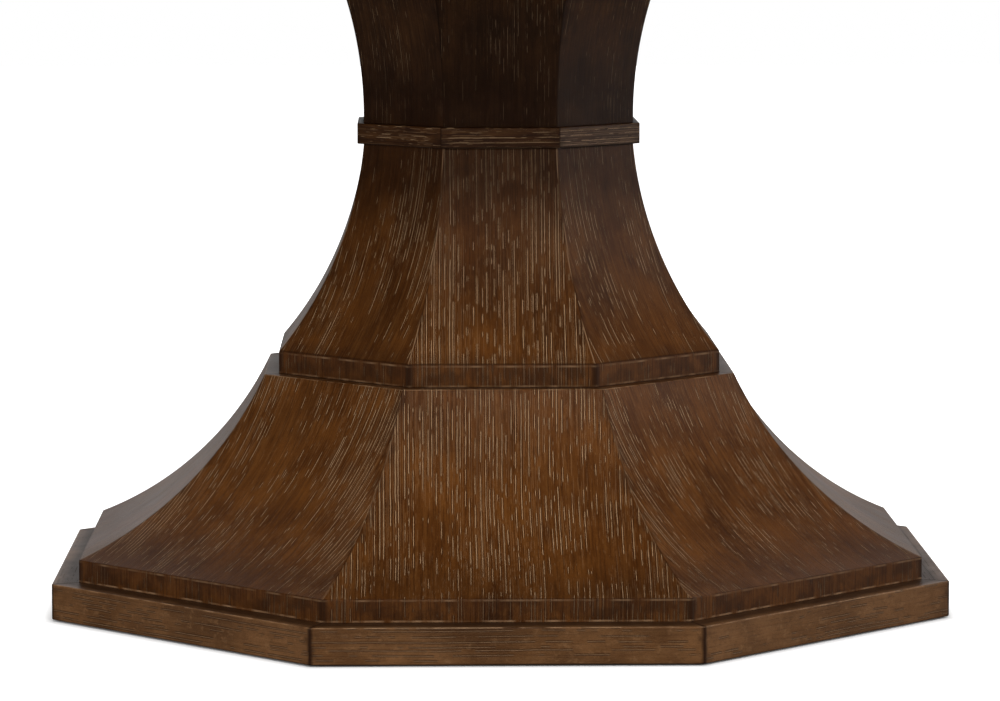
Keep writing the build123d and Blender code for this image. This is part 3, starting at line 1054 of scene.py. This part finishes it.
# ---- the pedestal -------------------------------------------------------------------------------
@dataclass(frozen=True)
class Pedestal:
    """The octagonal pedestal: plinth, two flared tiers, collar and column.

    Attributes:
        gap: height of the plinth's underside above the floor.
        plinth_reach: the plinth boards' outer face.
        plinth_top: their upper face.
        board: their width.
        lower: the lower tier's sweep.
        lower_wood: the lower panels' thickness and the depth of their foot.
        upper: the upper tier's sweep.
        upper_wood: the upper panels' thickness and the depth of their foot.
        ledge: height of the ledge between the tiers.
        collar_reach: the collar's outer face.
        collar_width: the width of its strips.
        column: the column's sweep.
        column_wood: its panels' thickness.
        lower_grain: how open the grain of each lower panel is, from 0 to 1, from the front face on.
        upper_grain: the same of the upper panels.
        column_grain: the same of the column's panels.
    """

    gap: float = 2.0
    plinth_reach: float = 482.5
    plinth_top: float = 40.5
    board: float = 90.0
    lower: Sweep = Sweep((454.0, 64.5), (256.0, 256.0), 25.3)
    lower_wood: Point = (25.0, 36.0)
    upper: Sweep = Sweep((240.5, 280.0), (147.5, 504.5), 18.5)
    upper_wood: Point = (20.0, 32.5)
    ledge: float = 256.0
    collar_reach: float = 154.5
    collar_width: float = 46.5
    column: Sweep = Sweep((147.5, 527.0), (179.0, 700.0), 8.7)
    column_wood: float = 20.0
    lower_grain: tuple[float, ...] = (0.57, 0.22, 0.6, 0.4, 0.65, 0.3, 0.5, 0.3)
    upper_grain: tuple[float, ...] = (0.72, 0.02, 0.5, 0.3, 0.6, 0.2, 0.5, 0.12)
    column_grain: tuple[float, ...] = (0.42, 0.12, 0.4, 0.3, 0.45, 0.25, 0.35, 0.15)

    def build(self) -> None:
        """Makes every oak piece of the pedestal."""
        self.plinth().build(Pockets())
        for ring in (self.lower_tier(), self.upper_tier(), self.collar(), self.column_ring()):
            ring.build()

    def lower_tier(self) -> Ring:
        """The panels of the lower tier."""
        foot, wood, grain = self.plinth_top, self.lower_wood, self.lower_grain
        return self.tier("lower_flare_panel", self.lower, foot, wood, self.lower_finish(), grain)

    def upper_tier(self) -> Ring:
        """The panels of the upper tier."""
        foot, wood, grain = self.ledge, self.upper_wood, self.upper_grain
        return self.tier("upper_flare_panel", self.upper, foot, wood, self.upper_finish(), grain)

    @staticmethod
    def strip(piece: str, finish: Finish, box: tuple[float, float, float, float], rounds: Point) -> Ring:
        """A ring of straight boards.

        Args:
            piece: the name that the boards share.
            finish: their finish.
            box: inner reach, outer reach, foot and head.
            rounds: the rounding of the lower and of the upper outer arris.

        Returns:
            The ring.
        """
        inner, outer, foot, head = box
        corners = ((outer, foot, rounds[0]), (outer, head, rounds[1]), (inner, head, 0), (inner, foot, 0))
        outline = Workshop.eased(corners)
        return Ring(piece, finish, Run.LEVEL, outline, len(outline))

    def plinth(self) -> Ring:
        """The boards on the floor side.

        Returns:
            The ring.
        """
        finish = LimedOak(
            "plinth_oak",
            deep=(0.1, 0.042, 0.0135),
            warm=(0.18, 0.083, 0.031),
            light=(0.23, 0.12, 0.052),
            filler=0.3,
            fine=0.03,
            mitre=0.95,
            # painted shade on the plinth's top, in the corner under the lower tier's edge
            corners=((self.lower.foot[0], self.plinth_top, 34.0, 2.2),),
            mitre_width=11.0,
            rubbing=0.0,
            arrises=((self.plinth_reach, self.plinth_top, 0.6),),
            streaky=0.4,
            blotch=1.0,
            tight=0.05,
        )
        box = (self.plinth_reach - self.board, self.plinth_reach, self.gap, self.plinth_top)
        return self.strip("plinth_board", finish, box, (1.6, 1.2))

    def lower_finish(self) -> LimedOak:
        """The lower tier's oak: a darker upright edge, painted shade over the foot of its flare and in the
        corner at the ledge, and three rubbed arrises.

        Returns:
            The finish.
        """
        edge, top = self.lower.foot
        return LimedOak(
            "lower_tier_oak",
            crowded=0.13,
            rubbing=0.25,
            # painted shade: darker over the foot of the flare, and in the corner at the ledge
            corners=((edge, top + 1.5, 85.0, 0.65), (self.upper.foot[0], self.ledge, 22.0, 0.9)),
            arrises=(
                (edge, self.plinth_top + 1.5, 0.6),
                (edge, top - 1.3, 0.35),
                (*self.lower.head, 0.4),
            ),
            edge=edge,
        )

    def upper_finish(self) -> LimedOak:
        """The upper tier's oak: painted shade at the ledge, over its edge and under the collar, and a
        darker upright edge.

        Returns:
            The finish.
        """
        edge, top = self.upper.foot
        return LimedOak(
            "upper_tier_oak",
            crowded=0.08,
            filler=0.88,
            # painted shade in the corner at the ledge, over the upright edge, and spreading far down from
            # under the collar
            corners=(
                (edge, self.ledge, 12.0, 1.0),
                (edge, top + 1.5, 20.0, 0.6),
                (*self.upper.head, 115.0, 1.3),
            ),
            rubbing=0.6,
            arrises=((edge, top - 1.5, 0.4), (edge, self.ledge + 1.5, 0.4)),
            edge=edge,
            edge_shade=0.4,
            sheen=0.3,
        )

    @staticmethod
    def tier(
        piece: str,
        sweep: Sweep,
        foot: float,
        wood: Point,
        finish: Finish,
        openness: tuple[float, ...],
    ) -> Ring:
        """A ring of flared panels with an upright lower edge.

        Args:
            piece: the name that the panels share.
            sweep: their outer face.
            foot: height of their foot.
            wood: their thickness and the depth of their foot.
            finish: their finish.
            openness: how open the grain of each is.

        Returns:
            The ring.
        """
        thickness, depth = wood
        edge, edge_top = sweep.foot
        head = sweep.head[1]
        back = edge - depth
        outer = sweep.points(edge_top, head, depth=0.0, count=34)
        inner = sweep.points(sweep.height(back, thickness), head, depth=thickness, count=20)
        corners = [(edge, foot, 0.5), (edge, edge_top, 0.9)]
        corners += [(reach, height, 0.0) for reach, height in outer[1:-1]]
        corners.append((*outer[-1], 0.6))
        corners += [(reach, height, 0.0) for reach, height in reversed(inner)]
        corners.append((back, foot, 0.0))
        outline = Workshop.eased(corners)
        hidden = len(inner) + 1
        return Ring(piece, finish, Run.UP, outline, len(outline) - hidden, openness)

    def collar(self) -> Ring:
        """The strips of the collar.

        Returns:
            The ring.
        """
        # a darker stain, partly the oak's own colour and partly painted shade for the shade that the top
        # casts here
        finish = LimedOak(
            "collar_oak",
            deep=(0.04, 0.014, 0.0035),
            warm=(0.075, 0.027, 0.0065),
            light=(0.105, 0.042, 0.011),
            filler=0.75,
            fine=0.35,
            mitre=0.8,
            rubbing=0.0,
            # painted shade in the joints with the column and the upper tier, and under the collar's outer
            # arris
            corners=(
                (*self.column.foot, 6.0, 1.0),
                (*self.upper.head, 6.0, 1.0),
                (self.collar_reach, self.upper.head[1], 4.0, 1.2),
            ),
            streaky=2.0,
            thread=0.42,
            tight=-0.02,
            sheen=0.36,
        )
        inner = self.collar_reach - self.collar_width
        box = (inner, self.collar_reach, self.upper.head[1], self.column.foot[1])
        return self.strip("collar_strip", finish, box, (0.9, 0.9))

    def column_ring(self) -> Ring:
        """The panels of the column.

        Returns:
            The ring.
        """
        # a darker stain, partly the oak's own colour and partly painted shade for the shade that the top
        # casts on the column
        finish = LimedOak(
            "column_oak",
            deep=(0.036, 0.0135, 0.0038),
            warm=(0.082, 0.031, 0.0085),
            light=(0.11, 0.047, 0.015),
            filler=0.5,
            mitre=0.85,
            rubbing=0.0,
            # painted shade spreading up from the collar and down from the plate
            corners=((*self.column.foot, 120.0, 1.6), (*self.column.head, 40.0, 1.0)),
            tight=0.07,
            sheen=0.25,
        )
        foot, head = self.column.foot[1], self.column.head[1]
        outer = self.column.points(foot, head, depth=0.0, count=26)
        inner = self.column.points(foot, head, depth=self.column_wood, count=14)
        corners = [(*outer[0], 0.4)]
        corners += [(reach, height, 0.0) for reach, height in outer[1:-1]]
        corners.append((*outer[-1], 0.4))
        corners += [(reach, height, 0.0) for reach, height in reversed(inner)]
        outline = Workshop.eased(corners)
        shown = len(outline) - len(inner)
        return Ring("column_panel", finish, Run.UP, outline, shown, self.column_grain)


@dataclass(frozen=True)
class Top:
    """The mounting plate, the round top and the bolts between them.

    Attributes:
        plate_reach: the octagonal plate's reach.
        plate: its foot and head.
        bevel: the bevel of its lower rim.
        radius: the top's radius.
        slab: the top's underside and upper face.
        lipping: width of the lipping.
        butt: turn, in radians, and depth of the easing at a butt joint of the lipping.
        bolt_circle: radius that the bolts stand on.
        flats: size of a bolt's head across its flats.
        head: height of a bolt's head.
        washer: a washer's radius and thickness.
        bolt: a bolt's radius and length.
    """

    plate_reach: float = 280.0
    plate: Point = (700.0, 724.0)
    bevel: float = 10.0
    radius: float = 762.0
    slab: Point = (724.0, 762.0)
    lipping: float = 60.0
    butt: Point = (0.0012, 0.25)
    bolt_circle: float = 250.0
    flats: float = 13.0
    head: float = 5.3
    washer: Point = (12.0, 2.0)
    bolt: Point = (4.0, 42.0)

    def build(self) -> None:
        """Makes the plate, the core, the lipping and the bolts."""
        self.build_plate()
        self.build_core()
        self.build_lipping()
        self.build_bolts()

    @staticmethod
    def settle(obj: bpy.types.Object, node: str, slot: Slot) -> None:
        """Fixes a piece to the table in place of its CAD node, and reports it."""
        Workshop.settle(obj, "table", node, slot)
        LOG.info("%s made", obj.name)

    def build_plate(self) -> None:
        """The octagonal plate under the top, in solid oak with its grain along X."""
        finish = LimedOak("plate_oak", filler=0.5, mitre=0.0)
        low, high = self.plate
        edge = self.plate_reach
        rim = ((edge - self.bevel, low, 0.8), (edge, low + self.bevel, 0.8), (edge, high, 0.5))
        # the two inner corners only show which way the faces beside the rim run
        inner = ((0.0, high, 0.0), (0.0, low, 0.0))
        profile = Workshop.eased((*rim, *inner))[: -len(inner)]
        made = Solid()
        rings = []
        for reach, height in profile:
            ring = []
            for face in range(1, SIDES + 1):
                angle = Ring.direction(face) + HALF_SIDE
                corner = reach / math.cos(HALF_SIDE)
                spot = (corner * math.cos(angle), corner * math.sin(angle), height)
                ring.append(made.add(spot, (spot[0], spot[1] + height, 5.0), (0, reach, height)))
            rings.append(ring)
        made.skin(rings)
        self.settle(made.build("oak_mounting_plate", finish), "mounting_plate", Slot.OAK)

    def build_core(self) -> None:
        """The veneered disc."""
        finish = LimedOak("top_oak", filler=0.55, mitre=0.0, blotch=0.2, leaf=148.0, gloss_break=0.38)
        low, high = self.slab
        rim = self.radius - self.lipping
        profile = [
            (0.0, low),
            (rim - 3.0, low),
            (rim - 0.5, low),
            (rim, low + 0.4),
            (rim, high - 0.4),
            (rim - 0.5, high),
            (rim - 3.0, high),
            (0.0, high),
        ]
        made = Solid()
        Workshop.lathe(made, profile, (0.0, 0.0), steps=256)
        self.settle(made.build("oak_top_core", finish), "top_core", Slot.OAK)

    def build_lipping(self) -> None:
        """Eight sawn segments round the core, each with its own figure."""
        low, high = self.slab
        arrises = ((self.radius, high, 0.4), (self.radius, low, 0.4))
        finish = LimedOak("lipping_oak", filler=0.55, mitre=0.0, blotch=0.2, arrises=arrises)
        inner = self.radius - self.lipping
        rim, joint = 3.0, 0.4
        rim_corners = ((self.radius, low, rim), (self.radius, high, rim))
        outline = Workshop.eased((*rim_corners, (inner, high, joint), (inner, low, joint)), steps=6)
        made = Solid()
        steps = 32
        for segment in range(SIDES):
            middle = Ring.direction(segment + 1)
            seed = Ring.seed("lipping", segment)
            rings = []
            for step in range(-steps // 2, steps // 2 + 1):
                end = abs(step) == steps // 2
                angle = step * math.tau / SIDES / steps
                stations = [(angle, 0.0)]
                if end:
                    turn_back, depth = self.butt
                    stations = [(angle - math.copysign(turn_back, step), 0.0), (angle, depth)]
                    if step < 0:
                        stations.reverse()
                for turn, dip in stations:
                    rings.append(self.lipping_ring(made, outline, turn, middle, seed, dip))
            made.skin(rings)
        self.settle(made.build("oak_top_lipping", finish), "top_lipping", Slot.OAK)

    def lipping_ring(
        self, made: Solid, outline: list[Point], turn: float, middle: float, seed: float, dip: float
    ) -> list[int]:
        """One section of a lipping segment.

        Args:
            made: the solid it is added to.
            outline: the section.
            turn: angle from the segment's middle.
            middle: the angle of that middle.
            seed: what sets the segment apart.
            dip: how far the section shrinks at a butt joint.

        Returns:
            The numbers of its vertices.
        """
        level = (self.slab[0] + self.slab[1]) / 2
        centre = self.radius - self.lipping / 2
        ring = []
        for reach, height in outline:
            out = reach - math.copysign(dip, reach - centre)
            up = height - math.copysign(dip, height - level)
            spot = (out * math.cos(middle + turn), out * math.sin(middle + turn), up)
            grain = (out * math.sin(turn), out * math.cos(turn) + up, seed)
            ring.append(made.add(spot, grain, (0, reach, height)))
        return ring

    def build_bolts(self) -> None:
        """Hexagon bolts with chamfered heads, on washers with rounded rims."""
        made = Solid()
        seat = self.plate[0] - self.washer[1]
        wide, thick = self.washer
        shank, length = self.bolt
        washer = Workshop.eased(
            (
                (wide, seat, 0.35),
                (wide, seat + thick, 0.35),
                (shank + 0.4, seat + thick, 0.2),
                (shank + 0.4, seat, 0.2),
            ),
            steps=2,
        )
        for number in range(SIDES):
            angle = math.tau * number / SIDES
            centre = self.bolt_circle * math.cos(angle), self.bolt_circle * math.sin(angle)
            Workshop.lathe(made, washer, centre, steps=48)
            bolt = Hexagon(self.flats, seat - self.head, seat, up=False)
            tip = seat + length
            bolt.add(made, centre, [(shank, seat), (shank, tip - 1.0), (shank - 1.0, tip)])
        self.settle(made.build("steel_top_bolts", ZincPlate()), "top_bolts", Slot.STEEL)


@dataclass(frozen=True)
class Hexagon:
    """A hexagonal head or collar whose outer end is chamfered.

    Attributes:
        flats: its size across flats, in millimetres.
        low: the height of its lower face.
        high: the height of its upper face.
        up: whether the chamfered end is the upper one.
        face: radius of the flat that the chamfer leaves, as a share of the flats.
        chamfer: the chamfer's angle, in degrees.
        steps: how many faces it has round it.
    """

    flats: float
    low: float
    high: float
    up: bool = True
    face: float = 0.47
    chamfer: float = 30.0
    steps: int = 48

    def radius(self, angle: float) -> float:
        """How far the hexagon's side is from its axis at an angle."""
        sixth = math.pi / 3
        return self.flats / 2 / math.cos((angle + sixth / 2) % sixth - sixth / 2)

    def add(self, made: Solid, centre: Point, shank: Sequence[Point]) -> None:
        """Adds the hexagon with a turned shank above its upper face.

        Args:
            made: the solid it is added to.
            centre: where its axis stands.
            shank: (radius, height) of the shank from the upper face to its free end.
        """
        face = self.face * self.flats
        slope = math.tan(math.radians(self.chamfer))
        rings = []
        rows: list[tuple[float | None, float, float]] = [(face * 0.98, self.low, 0.0)]
        rows += [(None, self.low, 0.0 if self.up else 1.0)]
        rows += [(None, self.high, -1.0 if self.up else 0.0), (face * 0.98, self.high, 0.0)]
        rows += [(radius, height, 0.0) for radius, height in shank]
        for radius, height, lean in rows:
            ring = []
            for step in range(self.steps):
                angle = math.tau * step / self.steps
                out = self.radius(angle) if radius is None else radius
                up = height + lean * max(0.0, out - face) * slope
                spot = (centre[0] + out * math.cos(angle), centre[1] + out * math.sin(angle), up)
                ring.append(made.add(spot, (*spot[:2], 0.0), (0.0, out, up)))
            rings.append(ring)
        made.skin(rings)


# ---- the glides ---------------------------------------------------------------------------------
@dataclass(frozen=True)
class Glides:
    """Four screw-adjusted glides under the plinth.

    Attributes:
        pad: radius and height of a pad.
        chamfer: the chamfer of its lower rim.
        pivot: radius of the stem's pivot, and the height of the pad's floor under it.
        collar: size across flats, foot and head of the stem's collar.
        stem: radius and top of the stem.
        pitch: the thread's pitch.
        depth: the thread's depth.
    """

    pad: Point = (19.0, 6.0)
    chamfer: float = 1.5
    pivot: Point = (4.0, 2.4)
    collar: tuple[float, float, float] = (15.0, 6.1, 8.9)
    stem: Point = (5.0, 35.0)
    pitch: float = 1.5
    depth: float = 0.75

    @staticmethod
    def centre(face: int) -> Point:
        """Where the axis of the glide under a side stands."""
        angle = Ring.direction(face)
        return GLIDE_REACH * math.cos(angle), GLIDE_REACH * math.sin(angle)

    def build(self) -> None:
        """Makes each pad and each stem on its own body."""
        for number, face in enumerate(GLIDE_FACES, start=1):
            centre = self.centre(face)
            pad = self.pad_solid(centre).build(f"nylon_glide_pad_{number}", MouldedNylon())
            stem = self.stem_solid(centre).build(f"steel_glide_stem_{number}", ZincPlate(), smooth=40.0)
            Workshop.settle(pad, f"glide_pad_{number}", f"glide_pad_{number}", Slot.NYLON)
            Workshop.settle(stem, f"glide_stem_{number}", f"glide_stem_{number}", Slot.STEEL)
            LOG.info("glide %d: pad and stem", number)

    def pad_solid(self, centre: Point) -> Solid:
        """A moulded pad with a rounded rim, a shallow groove and a socket for the pivot.

        Args:
            centre: where its axis stands.

        Returns:
            The pad.
        """
        radius, height = self.pad
        bore = self.pivot[0] + 0.06
        profile = [
            (0.0, 0.0),
            (radius - self.chamfer - 0.2, 0.0),
            (radius - self.chamfer + 0.1, 0.1),
            (radius - 0.1, self.chamfer - 0.1),
            (radius, self.chamfer + 0.2),
            (radius, height - 0.9),
            (radius - 0.25, height - 0.3),
            (radius - 0.9, height),
            (radius - 3.2, height),
            (radius - 3.6, height - 0.5),
            (radius - 5.0, height - 0.5),
            (radius - 5.4, height),
            (bore + 0.3, height),
            (bore, height - 0.3),
            (bore, self.pivot[1]),
            (0.0, self.pivot[1]),
        ]
        made = Solid()
        Workshop.lathe(made, profile, centre, steps=72)
        return made

    def stem_solid(self, centre: Point) -> Solid:
        """A stem with its pivot, hexagon collar and a cut thread, right-handed.

        Args:
            centre: where its axis stands.

        Returns:
            The stem.
        """
        made = Solid()
        flats, foot, head = self.collar
        radius, top = self.stem
        hexagon = Hexagon(flats, foot, head)
        hexagon.add(made, centre, [(radius - self.depth, head), (radius - self.depth, head + 0.8)])
        pin = [(0.0, self.pivot[1] + 0.1), (self.pivot[0] - 0.5, self.pivot[1] + 0.1)]
        pin += [(self.pivot[0], self.pivot[1] + 0.6), (self.pivot[0], foot + 0.2), (0.0, foot + 0.2)]
        Workshop.lathe(made, pin, centre, steps=32)
        rows = 4
        count = int((top - head - 0.8) / self.pitch * rows)
        low = head + 0.4
        profile = [(0.0, low)]
        for row in range(count + 1):
            height = low + (top - 0.6 - low) * row / count
            profile.append((radius, height))
        profile += [(radius - 1.1, top), (0.0, top)]
        Workshop.lathe(made, profile, centre, steps=32, swell=self.thread)
        return made

    def thread(self, radius: float, height: float, angle: float) -> float:
        """The radius of the cut thread at a height and an angle.

        Args:
            radius: the radius before the thread is cut.
            height: the height.
            angle: the angle round the stem.

        Returns:
            The radius.
        """
        if radius < self.stem[0]:
            return radius
        share = (height / self.pitch - angle / math.tau) % 1.0
        cut = abs(2 * share - 1)
        ends = min(1.0, (self.stem[1] - height) / 1.2)
        return radius - self.depth * min(1.0, 1.25 * cut) - 0.3 * (1 - ends)


@dataclass(frozen=True)
class InnerParts:
    """CAD nodes that stay as they are, with their finishes."""

    plywood: Finish = PlainWood("birch_plywood", (0.6, 0.45, 0.28), (0.46, 0.31, 0.17))
    beech: Finish = PlainWood("sawn_beech", (0.55, 0.36, 0.22), (0.42, 0.25, 0.14), fibre=140.0, saw=0.0003)
    steel: Finish = ZincPlate()

    def build(self) -> None:
        """Gives each node its finish."""
        for finish, slot, names in (
            (
                self.plywood,
                Slot.PLYWOOD,
                ("base_panel", "ledge_former", "waist_block", "column_head_former"),
            ),
            (self.beech, Slot.BEECH, ("corner_cleats",)),
            (self.steel, Slot.STEEL, ("plate_screws", "top_inserts", "glide_sockets")),
        ):
            for name in names:
                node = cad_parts[name]
                node.data.materials.clear()
                node.data.materials.append(finish.material())
                LOG.info("%s: %s", name, finish.name)


# ---- the studio ---------------------------------------------------------------------------------
@dataclass(frozen=True)
class SoftLight:
    """A large soft light.

    Attributes:
        name: its name.
        at: where it hangs, in metres.
        aim: what it points at.
        size: its width and height.
        power: its power in watts.
        mirrored: whether it shows in the lacquer's sheen.
        spread: the angle of its beam, in degrees.
    """

    name: str
    at: tuple[float, float, float]
    aim: tuple[float, float, float]
    size: Point
    power: float
    mirrored: bool = True
    spread: float = 180.0

    def build(self) -> None:
        """Hangs the light."""
        data = bpy.data.lights.new(self.name, "AREA")
        data.shape = "RECTANGLE"
        data.size, data.size_y = self.size
        data.energy = self.power
        data.spread = math.radians(self.spread)
        lamp = bpy.data.objects.new(self.name, data)
        bpy.context.scene.collection.objects.link(lamp)
        lamp.location = self.at
        lamp.visible_glossy = self.mirrored
        lamp.rotation_euler = (Vector(self.aim) - Vector(self.at)).to_track_quat("-Z", "Y").to_euler()


@dataclass(frozen=True)
class Studio:
    """Plain white surroundings, a pale floor, soft lights and the camera.

    Attributes:
        distance: from the table's axis to the camera, in metres.
        eye: the camera's height.
        azimuth: how far the camera stands to the left of square, in degrees.
        swing: how far it looks to the right of the axis, in degrees.
        tilt: how far it looks down, in degrees.
        roll: its roll, in degrees.
        lens: focal length on a 36 mm frame.
        floor: half the floor's width, in metres.
        contact: distance from the axis at which the painted contact shadow under the plinth starts to fade,
            and ends.
        fade: distance from the axis at which the painted glow that whitens the floor starts to rise, and is
            full.
    """

    distance: float = 4.819
    eye: float = 0.7885
    azimuth: float = 1.181
    swing: float = 0.033
    tilt: float = 6.143
    roll: float = -0.025
    lens: float = 156.52
    floor: float = 14.0
    contact: Point = (0.47, 0.505)
    fade: Point = (0.9, 2.6)
    lights: tuple[SoftLight, ...] = (
        SoftLight("key_front", (0.3, -3.2, 1.95), (0.0, 0.0, 0.3), (3.2, 1.8), 112.0, False),
        SoftLight("key_sheen", (0.3, -3.2, 1.95), (0.0, 0.0, 0.3), (3.2, 1.8), 12.0),
        SoftLight("fill_right", (3.2, -1.0, 1.5), (0.0, 0.0, 0.3), (2.2, 1.8), 22.0, False),
        SoftLight("sheen_right", (3.4, 0.2, 0.95), (0.0, 0.0, 0.4), (2.4, 2.4), 12.0),
        SoftLight("high_right", (2.6, -0.35, 0.55), (0.0, 0.0, 0.72), (0.6, 0.2), 0.22, False, 16.0),
        SoftLight("high_sheen", (2.6, -0.35, 0.55), (0.0, 0.0, 0.72), (0.6, 0.2), 0.06, True, 16.0),
        SoftLight("fill_left", (-3.2, -1.2, 0.4), (0.0, 0.0, 0.36), (2.2, 0.8), 31.0, False),
        SoftLight("rear", (0.0, 3.3, 2.3), (0.0, 0.0, 0.3), (3.2, 2.0), 96.0, False),
        SoftLight("under", (0.0, 0.0, -2.0), (0.0, 0.0, 0.0), (3.0, 3.0), 14.0, False),
    )

    def build(self) -> None:
        """Sets up everything round the table."""
        bpy.context.scene.view_settings.view_transform = "Standard"
        for light in self.lights:
            light.build()
        self.build_world()
        self.build_floor()
        self.build_camera()
        LOG.info("studio ready")

    def build_world(self) -> None:
        """Plain white to the eye, brighter behind the table than in front of it."""
        world = bpy.data.worlds.new("studio")
        world.use_nodes = True
        bpy.context.scene.world = world
        graph = Graph(world.node_tree)
        path = graph.node("LightPath")
        seen = Value(graph, path.outputs["Is Camera Ray"])
        mirrored = Value(graph, path.outputs["Is Glossy Ray"])
        _, depth, height = graph.parts(graph.node("TexCoord").outputs["Generated"])
        sheen = depth.ease(0.6, 1.0) * 0.75 + 0.01
        soft = height.ease(-0.1, 0.5) * 0.08 + 0.1
        strength = seen + (1.0 - seen) * (mirrored * sheen + (1.0 - mirrored) * soft)
        shade = graph.node("Background", {}, {"Color": graph.vector(strength, strength, strength)})
        graph.node("OutputWorld", {}, {"Surface": shade.outputs[0]})

    def build_floor(self) -> None:
        """A pale floor that stays white beyond the table's soft shadow: to the camera it has a painted glow
        that covers that shadow and fades near the plinth into a painted contact shadow.
        """
        half = self.floor
        corners = [(-half, -half, 0), (half, -half, 0), (half, half, 0), (-half, half, 0)]
        mesh = bpy.data.meshes.new("floor")
        mesh.from_pydata(corners, [], [(0, 1, 2, 3)])
        floor = bpy.data.objects.new("floor", mesh)
        bpy.context.scene.collection.objects.link(floor)
        material = bpy.data.materials.new("pale_floor")
        material.use_nodes = True
        graph = Graph(material.node_tree)
        path = graph.node("LightPath")
        seen = path.outputs["Is Camera Ray"]
        tone = graph.blend(seen, (0.12, 0.12, 0.12), (0.75, 0.75, 0.75))
        lit = graph.node("BsdfDiffuse", {}, {"Color": tone})
        x, y, _ = graph.parts(graph.node("TexCoord").outputs["Object"])
        # painted glow seen by the camera: brighter away from the table, and fading towards the plinth into
        # a painted contact shadow
        away = (x * x + y * y).root().ease(*self.fade)
        slant = x.size() * math.sqrt(0.5) + y.size() * math.sqrt(0.5)
        near = x.size().most(y.size()).most(slant).ease(*self.contact)
        strength = Value(graph, seen) * (away * 0.4 + near * 0.85)
        glow = graph.node("Emission", {}, {"Color": graph.vector(strength, strength, strength)})
        both = graph.node("AddShader", {}, {0: lit.outputs[0], 1: glow.outputs[0]})
        clear = graph.node("BsdfTransparent")
        under = Value(graph, graph.node("NewGeometry").outputs["Backfacing"])
        passing = under.most(Value(graph, path.outputs["Is Shadow Ray"]))
        cover = graph.node("MixShader", {}, {0: passing, 1: both.outputs[0], 2: clear.outputs[0]})
        graph.node("OutputMaterial", {}, {"Surface": cover.outputs[0]})
        mesh.materials.append(material)

    def build_camera(self) -> None:
        """The camera, with no shift and no blur."""
        data = bpy.data.cameras.new("camera")
        data.lens = self.lens
        data.sensor_width = 36.0
        data.clip_start, data.clip_end = 0.1, 100.0
        camera = bpy.data.objects.new("camera", data)
        bpy.context.scene.collection.objects.link(camera)
        turn = math.radians(self.azimuth)
        camera.location = (-self.distance * math.sin(turn), -self.distance * math.cos(turn), self.eye)
        heading = Matrix.Rotation(-math.radians(self.azimuth + self.swing), 3, "Z")
        pitch = Matrix.Rotation(math.radians(90 - self.tilt), 3, "X")
        roll = Matrix.Rotation(math.radians(self.roll), 3, "Z")
        camera.rotation_euler = (heading @ pitch @ roll).to_euler()
        bpy.context.scene.camera = camera


def main() -> None:
    """Builds the table piece by piece, then the studio."""
    logging.basicConfig(level=logging.INFO, format="%(name)s: %(message)s")
    for part in (Pedestal(), Top(), Glides(), InnerParts(), Studio()):
        part.build()


if __name__ == "__main__":
    main()
